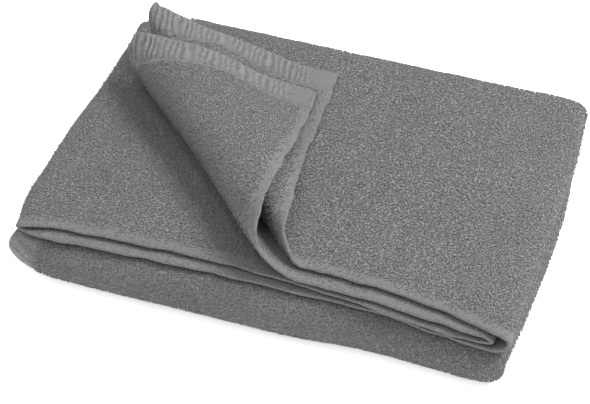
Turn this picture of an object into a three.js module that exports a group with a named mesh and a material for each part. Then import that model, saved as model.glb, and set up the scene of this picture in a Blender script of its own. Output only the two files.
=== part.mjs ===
// A folded terry hand towel, modelled as one continuous sheet of cloth.
// The sheet is laid in four layers along its length, that package is folded in three
// across its width, and the front left corner of the two upper layers is turned back.
// Units are millimetres, +Z is up, +X runs along the long side and +Y towards the back.
// The origin is on the floor under the middle of the folded towel.
import * as THREE from 'three';

// Flat cloth
const SHEET_LENGTH = 1000;
const SHEET_WIDTH = 500;
const CLOTH_THICKNESS = 2.4;

// Folded stack
const LAYER_PITCH = 3.3;
const ROLL_HOLLOW = 1.0;
const TOP_THIRD = 150.5;
const LOW_THIRD = 151;
const BACK_FOLD_RADIUS = 4 * LAYER_PITCH + ROLL_HOLLOW;
const FRONT_FOLD_RADIUS = 2 * LAYER_PITCH + ROLL_HOLLOW;

// Middle of the folded towel in the frame the folds are laid out in
const STACK_CENTRE_X = 128.1;
const STACK_CENTRE_Y = 77.4;
const STACK_FLOOR = 0.45;

// Path of the cloth along its length, seen from the front: top layer from its hem on the
// left, outer fold on the right, bottom layer, left fold, third layer, inner fold, second
// layer back to its hem. Height counts layers up from the underside of the package.
const LENGTH_PATH = [
  { x: 1, layer: 3.5 },
  { x: 40, layer: 3.5 },
  { x: 80, layer: 3.5 },
  { x: 120, layer: 3.5 },
  { x: 180, layer: 3.5 },
  { x: 222, layer: 3.54 },
  { x: 238, layer: 3.6 },
  { x: 247, layer: 3.33 },
  { x: 251.5, layer: 2.45 },
  { x: 251.5, layer: 1.5 },
  { x: 248, layer: 0.75 },
  { x: 240, layer: 0.5 },
  { x: 222, layer: 0.48 },
  { x: 120, layer: 0.5 },
  { x: 60, layer: 0.5 },
  { x: 15, layer: 0.5 },
  { x: 5, layer: 0.46 },
  { x: 0.8, layer: 1.0 },
  { x: 5, layer: 1.54 },
  { x: 15, layer: 1.5 },
  { x: 60, layer: 1.5 },
  { x: 120, layer: 1.5 },
  { x: 215, layer: 1.45 },
  { x: 232, layer: 1.36 },
  { x: 240, layer: 1.42 },
  { x: 244, layer: 2.0 },
  { x: 240, layer: 2.6 },
  { x: 232, layer: 2.6 },
  { x: 215, layer: 2.52 },
  { x: 180, layer: 2.5 },
  { x: 120, layer: 2.5 },
  { x: 80, layer: 2.5 },
  { x: 40, layer: 2.5 },
  { x: 1.5, layer: 2.5 },
];

// Where the front selvage lies, by distance along the cloth: the layers are a few
// millimetres out of line with each other, as in a towel folded by hand. The difference
// is taken up by the back fold.
const SELVAGE_LINE = [
  { along: 0, y: 5.3 },
  { along: 150, y: 3 },
  { along: 180, y: 2.5 },
  { along: 215, y: -1.5 },
  { along: 240, y: -7 },
  { along: 252, y: -9 },
  { along: 262, y: -10 },
  { along: 285, y: -9 },
  { along: 320, y: -4.5 },
  { along: 360, y: -5 },
  { along: 420, y: -6 },
  { along: 470, y: -8.5 },
  { along: 497, y: -10 },
  { along: 507, y: -9 },
  { along: 530, y: -5 },
  { along: 565, y: -2.5 },
  { along: 620, y: -1 },
  { along: 655, y: -2 },
  { along: 690, y: -4.5 },
  { along: 720, y: -8.5 },
  { along: 745, y: -9.5 },
  { along: 760, y: -9 },
  { along: 790, y: -6 },
  { along: 820, y: -3.5 },
  { along: 860, y: -3.5 },
  { along: 1000, y: -0.9 },
];

const SELVAGE_FADE = 140;

// How far the left and right ends of the stack wander, by distance across the cloth
const LEFT_END = [
  { across: -12, shift: 3.5 },
  { across: -4, shift: 3 },
  { across: 12, shift: -0.5 },
  { across: 34, shift: -0.4 },
  { across: 69, shift: 0.2 },
  { across: 90, shift: 2 },
  { across: 123, shift: 3.2 },
  { across: 150, shift: 3.6 },
  { across: 500, shift: 0 },
];
const RIGHT_END = [
  { across: -12, shift: 0 },
  { across: -4, shift: 0.6 },
  { across: 20, shift: 3 },
  { across: 55, shift: 4.3 },
  { across: 90, shift: 4.2 },
  { across: 120, shift: 3.6 },
  { across: 150, shift: 2.4 },
  { across: 190, shift: 1 },
  { across: 230, shift: 4 },
  { across: 320, shift: 0 },
  { across: 350, shift: -5 },
  { across: 362, shift: -4 },
  { across: 374, shift: -1.5 },
  { across: 500, shift: 1 },
];

// How far each hem is set back from the left end, by distance across the cloth
const TOP_HEM_INSET = [
  { across: -10, inset: -2.5 },
  { across: 95, inset: -2.5 },
  { across: 108, inset: -1.5 },
  { across: 118, inset: 5.9 },
  { across: 130, inset: 12.1 },
  { across: 145, inset: 15.5 },
  { across: 160, inset: 12 },
  { across: 200, inset: 8 },
  { across: 500, inset: 4 },
];
const SECOND_HEM_INSET = [
  { across: -10, inset: 3.7 },
  { across: 88, inset: 3.7 },
  { across: 98, inset: 4.6 },
  { across: 110, inset: 6.7 },
  { across: 120, inset: 7.8 },
  { across: 135, inset: 8.2 },
  { across: 160, inset: 13 },
  { across: 200, inset: 6 },
  { across: 500, inset: 3 },
];
const HEM_INSET_REACH = 120;

// The turned back corner. The cloth lifts along a line from the front selvage to the
// left hem and rolls over it: "out" is the distance beyond that line towards the corner,
// "up" the height of the roll above the flat flap.
const LIFT_LINE = { frontX: 153.1, frontY: 0, backX: 14.5, backY: 142.8 };
const FLAP_ACROSS_LIMIT = 175;
const FLAP_SETTLE = 45;
const FLAP_SLIP_REACH = 60;
const TOP_ROLL = [
  { out: 0, up: 0 },
  { out: 1.8, up: 0.6 },
  { out: 3.3, up: 3.3 },
  { out: 4.2, up: 8.4 },
  { out: 3.7, up: 14.3 },
  { out: 1.7, up: 17.9 },
  { out: -2.8, up: 18.2 },
  { out: -13, up: 15.1 },
  { out: -25, up: 7.4 },
  { out: -34.3, up: 2.3 },
  { out: -44.5, up: 0.3 },
  { out: -57.5, up: 0 },
  { out: -70, up: 0 },
  { out: -120, up: 0 },
];
const SECOND_ROLL = [
  { out: 0, up: 0 },
  { out: 8, up: 0.3 },
  { out: 15.4, up: 2.1 },
  { out: 21.2, up: 6.3 },
  { out: 22.8, up: 11.4 },
  { out: 19.4, up: 16.6 },
  { out: 12.6, up: 19.6 },
  { out: 3.4, up: 20.2 },
  { out: -4.8, up: 19.4 },
  { out: -14.5, up: 16.8 },
  { out: -27.1, up: 10.2 },
  { out: -36.8, up: 5.2 },
  { out: -47.4, up: 1.9 },
  { out: -61, up: 0.7 },
  { out: -73, up: 0.3 },
  { out: -126, up: 0.3 },
];

// Size of the roll along the lift line, from the front selvage to the hem
const TOP_ROLL_SIZE = [
  { along: -60, scale: 0.68 },
  { along: 0, scale: 0.68 },
  { along: 100, scale: 0.93 },
  { along: 200, scale: 1.27 },
  { along: 300, scale: 1.27 },
];
const SECOND_ROLL_SIZE = [
  { along: -60, scale: 0.81 },
  { along: 0, scale: 0.81 },
  { along: 100, scale: 0.82 },
  { along: 200, scale: 1.17 },
  { along: 300, scale: 1.17 },
];

// The front roll wanders a little, and its left end is drawn in low down
const FRONT_ROLL_LINE = [
  { x: -10, y: -1 },
  { x: 20, y: -1.8 },
  { x: 60, y: -1.5 },
  { x: 100, y: -0.8 },
  { x: 150, y: 0 },
  { x: 185, y: 3 },
  { x: 215, y: 2.5 },
  { x: 250, y: 2 },
];
const ROLL_LINE_DEPTH = 50;
const ROLL_LINE_TOP = 31;
const ROLL_LINE_FADE = 8;
const ROLL_END = { draw: 30, front: 2, depth: 16, most: 1.2, top: 29, fade: 9, reach: 95 };

// Spacing of the cloth's grid: at most this far apart, and this much turn between rows
const FLAP_STEP = 13;
const RUN_STEP = 45;
const TURN_STEP = 0.56;
const FLAP_REACH = 168;
const FINE_FROM = -9;
const FINE_TO = 52;
const NORMAL_STEP = 0.4;

const TOWEL_COLOUR = 0x787878;

function smooth(value) {
  const u = Math.min(Math.max(value, 0), 1);
  return u * u * (3 - 2 * u);
}

// Smooth reading of a table between its rows
function readTable(rows, key, column, value) {
  const last = rows.length - 1;
  const at = Math.min(Math.max(value, rows[0][key]), rows[last][key]);
  let i = 0;
  while (i < last - 1 && rows[i + 1][key] < at) {
    i += 1;
  }
  const slope = (k) => (rows[k + 1][column] - rows[k][column]) / (rows[k + 1][key] - rows[k][key]);
  const tangent = (k) => {
    if (k === 0) {
      return slope(0);
    }
    if (k === last) {
      return slope(last - 1);
    }
    const before = rows[k][key] - rows[k - 1][key];
    const after = rows[k + 1][key] - rows[k][key];
    return (slope(k - 1) * after + slope(k) * before) / (before + after);
  };
  const width = rows[i + 1][key] - rows[i][key];
  const u = (at - rows[i][key]) / width;
  const low = rows[i][column];
  const high = rows[i + 1][column];
  return (
    (2 * u ** 3 - 3 * u * u + 1) * low +
    (u ** 3 - 2 * u * u + u) * width * tangent(i) +
    (3 * u * u - 2 * u ** 3) * high +
    (u ** 3 - u * u) * width * tangent(i + 1)
  );
}

// A smooth curve through points of the plane, read by distance along it
class PlaneCurve {
  constructor(points, stated) {
    const curve = new THREE.CatmullRomCurve3(
      points.map(([a, b]) => new THREE.Vector3(a, b, 0)),
      false,
      'centripetal',
    );
    this.samples = curve.getPoints((points.length - 1) * 24);
    this.distance = [0];
    for (let i = 1; i < this.samples.length; i += 1) {
      this.distance.push(this.distance[i - 1] + this.samples[i].distanceTo(this.samples[i - 1]));
    }
    const total = this.distance[this.distance.length - 1];
    const stretch = stated ? stated / total : 1;
    this.distance = this.distance.map((d) => d * stretch);
  }

  at(distance) {
    let low = 0;
    let high = this.distance.length - 1;
    const d = Math.min(Math.max(distance, 0), this.distance[high]);
    while (high - low > 1) {
      const middle = (low + high) >> 1;
      if (this.distance[middle] <= d) {
        low = middle;
      } else {
        high = middle;
      }
    }
    const u = (d - this.distance[low]) / (this.distance[high] - this.distance[low]);
    return new THREE.Vector3().lerpVectors(this.samples[low], this.samples[high], u);
  }
}

const lengthPath = new PlaneCurve(
  LENGTH_PATH.map(({ x, layer }) => [x, layer * LAYER_PITCH]),
  SHEET_LENGTH,
);
const flapLayers = [
  {
    holds: (along) => along < SHEET_LENGTH / 4,
    curve: new PlaneCurve(TOP_ROLL.map(({ out, up }) => [out, up])),
    size: TOP_ROLL_SIZE,
    early: -2.1,
    slip: 9.6,
    rest: LAYER_PITCH,
  },
  {
    holds: (along) => along > (SHEET_LENGTH * 3) / 4,
    curve: new PlaneCurve(SECOND_ROLL.map(({ out, up }) => [out, up])),
    size: SECOND_ROLL_SIZE,
    early: 0,
    slip: 5.1,
    rest: 3 * LAYER_PITCH,
  },
];

// Direction of the lift line, and the direction from it towards the turned corner
const liftAlong = new THREE.Vector2(
  LIFT_LINE.backX - LIFT_LINE.frontX,
  LIFT_LINE.backY - LIFT_LINE.frontY,
).normalize();
const liftOut = new THREE.Vector2(-liftAlong.y, liftAlong.x);

function liftDistance(x, across) {
  return (x - LIFT_LINE.frontX) * liftOut.x + (across - LIFT_LINE.frontY) * liftOut.y;
}

// Turn the front left corner of the two upper layers back over the stack
function turnCorner(point, along) {
  const layer = flapLayers.find((one) => one.holds(along));
  if (!layer || point.across > FLAP_ACROSS_LIMIT) {
    return point;
  }
  const past = liftDistance(point.x, point.across) + layer.early;
  if (past <= 0) {
    return point;
  }
  const place =
    (point.x - LIFT_LINE.frontX) * liftAlong.x + (point.across - LIFT_LINE.frontY) * liftAlong.y;
  const scale = readTable(layer.size, 'along', 'scale', place);
  const roll = layer.curve.at(past / scale);
  const out = roll.x * scale - layer.early;
  const up = roll.y * scale + layer.rest * smooth(past / (FLAP_SETTLE * scale));
  const slid = place + layer.slip * smooth(past / FLAP_SLIP_REACH);
  return {
    x: LIFT_LINE.frontX + liftOut.x * out + liftAlong.x * slid,
    across: LIFT_LINE.frontY + liftOut.y * out + liftAlong.y * slid,
    height: point.height + up,
  };
}

// Place in the four layer package before it is folded across its width
function inPackage(along, over) {
  const run = lengthPath.at(along);
  const slack = smooth(1 - over / SELVAGE_FADE);
  const across = over + readTable(SELVAGE_LINE, 'along', 'y', along) * slack;
  let x = run.x;
  x += readTable(LEFT_END, 'across', 'shift', across) * smooth(1 - run.x / 60);
  x += readTable(RIGHT_END, 'across', 'shift', across) * smooth((run.x - 190) / 60);
  const fromTopHem = smooth(1 - along / HEM_INSET_REACH);
  const fromSecondHem = smooth(1 - (SHEET_LENGTH - along) / HEM_INSET_REACH);
  x += readTable(TOP_HEM_INSET, 'across', 'inset', across) * fromTopHem;
  x += readTable(SECOND_HEM_INSET, 'across', 'inset', across) * fromSecondHem;
  return turnCorner({ x, across, height: run.y }, along);
}

// Fold the package in three across its width: top third, back fold, bottom third,
// front fold, inner third
function foldAcross({ x, across, height }) {
  const backStart = TOP_THIRD;
  const bottomStart = backStart + Math.PI * BACK_FOLD_RADIUS;
  const frontStart = bottomStart + LOW_THIRD;
  const innerStart = frontStart + Math.PI * FRONT_FOLD_RADIUS;
  const frontY = TOP_THIRD - LOW_THIRD;
  if (across <= backStart) {
    return new THREE.Vector3(x, across, 8 * LAYER_PITCH + 2 * ROLL_HOLLOW + height);
  }
  if (across <= bottomStart) {
    const turn = (across - backStart) / BACK_FOLD_RADIUS;
    const radius = BACK_FOLD_RADIUS + height - 2 * LAYER_PITCH;
    const y = backStart + radius * Math.sin(turn);
    return new THREE.Vector3(x, y, 6 * LAYER_PITCH + ROLL_HOLLOW + radius * Math.cos(turn));
  }
  if (across <= frontStart) {
    return new THREE.Vector3(x, backStart - (across - bottomStart), 4 * LAYER_PITCH - height);
  }
  if (across <= innerStart) {
    const turn = (across - frontStart) / FRONT_FOLD_RADIUS;
    const radius = ROLL_HOLLOW + height;
    const z = 4 * LAYER_PITCH + ROLL_HOLLOW - radius * Math.cos(turn);
    return new THREE.Vector3(x, frontY - radius * Math.sin(turn), z);
  }
  return new THREE.Vector3(x, frontY + across - innerStart, 4 * LAYER_PITCH + 2 * ROLL_HOLLOW + height);
}

// The front roll's wander and its drawn in left end
function settle(point) {
  const low = smooth((ROLL_LINE_TOP - point.z) / ROLL_LINE_FADE);
  const near = smooth((ROLL_LINE_DEPTH - point.y) / ROLL_LINE_DEPTH);
  point.y += readTable(FRONT_ROLL_LINE, 'x', 'y', point.x) * near * low;
  const depth = Math.min(Math.max((ROLL_END.front - point.y) / ROLL_END.depth, 0), ROLL_END.most);
  const draw = ROLL_END.draw * depth ** 3 * smooth((ROLL_END.top - point.z) / ROLL_END.fade);
  point.x += draw * Math.min(Math.max(1 - point.x / ROLL_END.reach, 0), 1.1);
  point.z = Math.max(point.z, LAYER_PITCH / 2);
  return point;
}

// Middle surface of the cloth by distance along its length and over its width
function middle(along, over) {
  const point = settle(foldAcross(inPackage(along, over)));
  point.x -= STACK_CENTRE_X;
  point.y -= STACK_CENTRE_Y;
  point.z -= STACK_FLOOR;
  return point;
}

function normal(along, over) {
  const alongLow = Math.max(along - NORMAL_STEP, 0);
  const alongHigh = Math.min(along + NORMAL_STEP, SHEET_LENGTH);
  const overLow = Math.max(over - NORMAL_STEP, 0);
  const overHigh = Math.min(over + NORMAL_STEP, SHEET_WIDTH);
  const alongDirection = middle(alongHigh, over).sub(middle(alongLow, over));
  const overDirection = middle(along, overHigh).sub(middle(along, overLow));
  return alongDirection.cross(overDirection).normalize();
}

// Rows of the grid: closer where the cloth turns and where the corner is folded back
function gridRows(total, turnAt, stepAt) {
  const fine = 0.5;
  const count = Math.round(total / fine);
  const effort = [0];
  for (let i = 0; i < count; i += 1) {
    const at = (i + 0.5) * fine;
    effort.push(effort[i] + fine / stepAt(at) + turnAt(at, fine) / TURN_STEP);
  }
  const parts = Math.ceil(effort[count]);
  const rows = [0];
  let i = 0;
  for (let part = 1; part < parts; part += 1) {
    const wanted = (effort[count] * part) / parts;
    while (effort[i + 1] < wanted) {
      i += 1;
    }
    rows.push((i + (wanted - effort[i]) / (effort[i + 1] - effort[i])) * fine);
  }
  rows.push(total);
  return rows;
}

function turnAlong(at, step) {
  const before = lengthPath.at(at).sub(lengthPath.at(at - step));
  const after = lengthPath.at(at + step).sub(lengthPath.at(at));
  return before.length() > 0 && after.length() > 0 ? before.angleTo(after) : 0;
}

const backBegin = TOP_THIRD;
const backEnd = backBegin + Math.PI * BACK_FOLD_RADIUS;
const frontBegin = backEnd + LOW_THIRD;
const frontEnd = frontBegin + Math.PI * FRONT_FOLD_RADIUS;
const SELVAGE_SLACK = 6;

function turnOver(at, step) {
  if (at > backBegin - SELVAGE_SLACK && at < backEnd + 2 * SELVAGE_SLACK) {
    return step / BACK_FOLD_RADIUS;
  }
  if (at > frontBegin - SELVAGE_SLACK && at < frontEnd + 2 * SELVAGE_SLACK) {
    return step / FRONT_FOLD_RADIUS;
  }
  return 0;
}

const alongRows = gridRows(SHEET_LENGTH, turnAlong, (at) =>
  at < FLAP_REACH || at > SHEET_LENGTH - FLAP_REACH ? FLAP_STEP : RUN_STEP,
);
const overRows = gridRows(SHEET_WIDTH, turnOver, (at) => (at < TOP_THIRD ? FLAP_STEP : RUN_STEP));

// Cells near the turned corner's roll are divided in four
function isFine(i, j) {
  if (i < 0 || j < 0 || i >= alongRows.length - 1 || j >= overRows.length - 1) {
    return false;
  }
  const along = (alongRows[i] + alongRows[i + 1]) / 2;
  const over = (overRows[j] + overRows[j + 1]) / 2;
  const held = flapLayers.some((layer) => layer.holds(along));
  const past = liftDistance(lengthPath.at(along).x, over);
  return held && over < FLAP_REACH && past > FINE_FROM && past < FINE_TO;
}

// Closed skin of the cloth: both faces of the sheet and its four edges
function clothGeometry() {
  const halves = (rows, k) => (k % 2 ? (rows[(k - 1) / 2] + rows[(k + 1) / 2]) / 2 : rows[k / 2]);
  const positions = [];
  const known = new Map();
  const vertex = (k, l, side) => {
    const key = `${k} ${l} ${side}`;
    if (!known.has(key)) {
      const along = halves(alongRows, k);
      const over = halves(overRows, l);
      const reach = (side * CLOTH_THICKNESS) / 2;
      const point = middle(along, over).addScaledVector(normal(along, over), reach);
      known.set(key, positions.length / 3);
      positions.push(point.x, point.y, point.z);
    }
    return known.get(key);
  };
  const triangles = [];
  const face = (a, b, c) => {
    triangles.push(vertex(...a, 1), vertex(...b, 1), vertex(...c, 1));
    triangles.push(vertex(...a, -1), vertex(...c, -1), vertex(...b, -1));
  };
  const quad = (k, l, step, along) => {
    const corners = [
      [k, l],
      [k + step, l],
      [k + step, l + step],
      [k, l + step],
    ];
    const start = along < SHEET_LENGTH / 2 ? 1 : 0;
    const turned = corners.slice(start).concat(corners.slice(0, start));
    face(turned[0], turned[1], turned[2]);
    face(turned[0], turned[2], turned[3]);
  };
  const rim = (points) => {
    for (let i = 0; i < points.length - 1; i += 1) {
      const here = points[i];
      const next = points[i + 1];
      triangles.push(vertex(...here, 1), vertex(...here, -1), vertex(...next, -1));
      triangles.push(vertex(...here, 1), vertex(...next, -1), vertex(...next, 1));
    }
  };
  const columns = alongRows.length - 1;
  const lines = overRows.length - 1;
  for (let i = 0; i < columns; i += 1) {
    for (let j = 0; j < lines; j += 1) {
      const k = 2 * i;
      const l = 2 * j;
      const fine = isFine(i, j);
      if (fine) {
        quad(k, l, 1, alongRows[i]);
        quad(k + 1, l, 1, alongRows[i]);
        quad(k, l + 1, 1, alongRows[i]);
        quad(k + 1, l + 1, 1, alongRows[i]);
      }
      const ring = [[k, l]];
      if (fine || isFine(i, j - 1)) {
        ring.push([k + 1, l]);
      }
      ring.push([k + 2, l]);
      if (fine || isFine(i + 1, j)) {
        ring.push([k + 2, l + 1]);
      }
      ring.push([k + 2, l + 2]);
      if (fine || isFine(i, j + 1)) {
        ring.push([k + 1, l + 2]);
      }
      ring.push([k, l + 2]);
      if (fine || isFine(i - 1, j)) {
        ring.push([k, l + 1]);
      }
      if (!fine && ring.length === 4) {
        quad(k, l, 2, alongRows[i]);
      } else if (!fine) {
        ring.forEach((point, n) => face([k + 1, l + 1], point, ring[(n + 1) % ring.length]));
      }
      const edge = (on, test) => {
        if (on) {
          rim(ring.filter(test));
        }
      };
      edge(j === 0, ([, b]) => b === 0);
      edge(i === columns - 1, ([a]) => a === 2 * columns);
      edge(j === lines - 1, ([, b]) => b === 2 * lines);
      if (i === 0) {
        rim(ring.slice(1).concat([ring[0]]).filter(([a]) => a === 0));
      }
    }
  }
  const geometry = new THREE.BufferGeometry();
  geometry.setAttribute('position', new THREE.Float32BufferAttribute(positions, 3));
  geometry.setIndex(triangles);
  geometry.computeVertexNormals();
  return geometry;
}

const towelMaterial = new THREE.MeshStandardMaterial({
  color: TOWEL_COLOUR,
  roughness: 0.95,
  metalness: 0,
});

const towel = new THREE.Mesh(clothGeometry(), towelMaterial);
towel.name = 'towel';

const foldedTowel = new THREE.Group();
foldedTowel.add(towel);

export default foldedTowel;
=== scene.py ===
"""A folded terry hand towel, dressed for rendering.

The cloth is one closed sheet laid in four layers, folded in three across its width, with the front
left corner of the two upper layers turned back. Its pile is built as small yarn loops on every face
that can be seen. Sizes are millimetres until a mesh is written, which is in metres. +X runs along the
long side, +Y towards the back fold, +Z up, and the origin is on the floor under the towel's middle.
"""
import logging
import math
from dataclasses import dataclass, field
from enum import Enum

import bpy
import numpy as np
from mathutils import Matrix, Vector
from mathutils.bvhtree import BVHTree


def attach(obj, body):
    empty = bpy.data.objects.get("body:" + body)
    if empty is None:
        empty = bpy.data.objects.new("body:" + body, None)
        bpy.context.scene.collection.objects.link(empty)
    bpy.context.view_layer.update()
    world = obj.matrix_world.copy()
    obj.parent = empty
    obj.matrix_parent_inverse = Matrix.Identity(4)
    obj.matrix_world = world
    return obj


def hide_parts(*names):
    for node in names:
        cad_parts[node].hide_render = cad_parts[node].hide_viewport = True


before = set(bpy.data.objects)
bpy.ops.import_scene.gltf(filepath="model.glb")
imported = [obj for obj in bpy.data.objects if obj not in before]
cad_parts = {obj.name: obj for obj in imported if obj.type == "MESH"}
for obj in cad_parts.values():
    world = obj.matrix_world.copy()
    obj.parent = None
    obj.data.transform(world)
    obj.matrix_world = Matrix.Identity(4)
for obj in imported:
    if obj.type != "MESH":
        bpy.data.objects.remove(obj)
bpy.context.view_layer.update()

log = logging.getLogger("towel")
MM = 0.001
TURN = 2 * math.pi
# Between the middles of neighbouring layers.
PITCH = 3.3
# Step at which the need for grid lines is added up.
FINE = 0.5
# Least length that a direction is divided by.
TINY = 1e-9
# The sheet's attribute that is 1 in a groove of the hems and -1 on a rib; the finish uses it to paint shade
# into the grooves and light onto the ribs.
GROOVE = "groove"

Rows = tuple[tuple[float, float], ...]
Waves = tuple[tuple[float, float, float], ...]
Feeds = dict[str | int, object]


def smooth(value: np.ndarray) -> np.ndarray:
    """Smooth step from 0, at values of 0 and less, to 1, at values of 1 and more."""
    u = np.clip(value, 0.0, 1.0)
    return u * u * (3 - 2 * u)


def bend(
    share: np.ndarray, start: np.ndarray, end: np.ndarray, leave: np.ndarray, arrive: np.ndarray
) -> np.ndarray:
    """A cubic from one value to another.

    Args:
        share: Share of the way, 0 to 1.
        start: Value at the start.
        end: Value at the end.
        leave: Slope at the start, over the whole way.
        arrive: Slope at the end, over the whole way.

    Returns:
        The values on the way.
    """
    square, cube = share * share, share**3
    ahead = 3 * square - 2 * cube
    curved = (cube - 2 * square + share) * leave + (cube - square) * arrive
    return (1 - ahead) * start + ahead * end + curved


def placed(name: str, data: bpy.types.ID) -> bpy.types.Object:
    """A new object in the scene."""
    made = bpy.data.objects.new(name, data)
    bpy.context.scene.collection.objects.link(made)
    return made


@dataclass(frozen=True)
class Table:
    """Two columns, read smoothly between the rows."""

    rows: Rows

    def read(self, value: np.ndarray) -> np.ndarray:
        """Read the second column.

        Args:
            value: Places in the first column.

        Returns:
            The second column at those places.
        """
        key, out = np.array(self.rows, float).T
        width = np.diff(key)
        slope = np.diff(out) / width
        tangent = np.empty_like(out)
        tangent[0], tangent[-1] = slope[0], slope[-1]
        tangent[1:-1] = (slope[:-1] * width[1:] + slope[1:] * width[:-1]) / (width[:-1] + width[1:])
        at = np.clip(value, key[0], key[-1])
        i = np.clip(np.searchsorted(key, at, side="left") - 1, 0, len(width) - 1)
        share = (at - key[i]) / width[i]
        return bend(share, out[i], out[i + 1], width[i] * tangent[i], width[i] * tangent[i + 1])


class PlaneCurve:
    """A smooth curve through points of a plane, read by distance along it."""

    SAMPLES = 24

    def __init__(self, rows: Rows, stated: float | None = None) -> None:
        """Lay the curve.

        Args:
            rows: Points that it passes through.
            stated: Length that it is read by, if not its own.
        """
        points = np.array(rows, float)
        gaps = np.sqrt(np.linalg.norm(np.diff(points, axis=0), axis=1))
        knots = np.concatenate([[0], np.cumsum(gaps)])
        first, last = 2 * points[0] - points[1], 2 * points[-1] - points[-2]
        points = np.vstack([first, points, last])
        knots = np.concatenate([[2 * knots[0] - knots[1]], knots, [2 * knots[-1] - knots[-2]]])
        u = np.linspace(0, 1, self.SAMPLES, endpoint=False)[:, None]
        pieces = []
        for p, t in ((points[i : i + 4], knots[i : i + 4]) for i in range(len(points) - 3)):
            step = [(p[k + 1] - p[k]) / (t[k + 1] - t[k]) for k in range(3)]
            wide = [(p[k + 2] - p[k]) / (t[k + 2] - t[k]) for k in range(2)]
            span = t[2] - t[1]
            leave, arrive = span * (step[0] - wide[0] + step[1]), span * (step[1] - wide[1] + step[2])
            pieces.append(bend(u, p[1], p[2], leave, arrive))
        self.points = np.vstack([*pieces, points[-2]])
        chords = np.linalg.norm(np.diff(self.points, axis=0), axis=1)
        distance = np.concatenate([[0], np.cumsum(chords)])
        self.distance = distance * (stated / distance[-1] if stated else 1.0)

    def at(self, distance: np.ndarray) -> tuple[np.ndarray, np.ndarray]:
        """Both coordinates at distances along the curve."""
        return tuple(np.interp(distance, self.distance, self.points[:, k]) for k in (0, 1))


def ripple(value: np.ndarray, waves: Waves) -> np.ndarray:
    """An uneven wave, as hand folding leaves it. A row has wave length, height and phase in turns."""
    return sum(height * np.sin(TURN * (value / length + phase)) for length, height, phase in waves)


@dataclass(frozen=True)
class FlapLayer:
    """One of the two layers whose corner is turned back.

    first and last bound it along the cloth. roll is its section square to the fold line, and size says
    how large that section is along the line. early moves it out over the line, slip moves it along the
    line, and rest is the height that it gains once it lies flat again.
    """

    first: float
    last: float
    roll: PlaneCurve
    size: Table
    early: float
    slip: float
    rest: float


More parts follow.
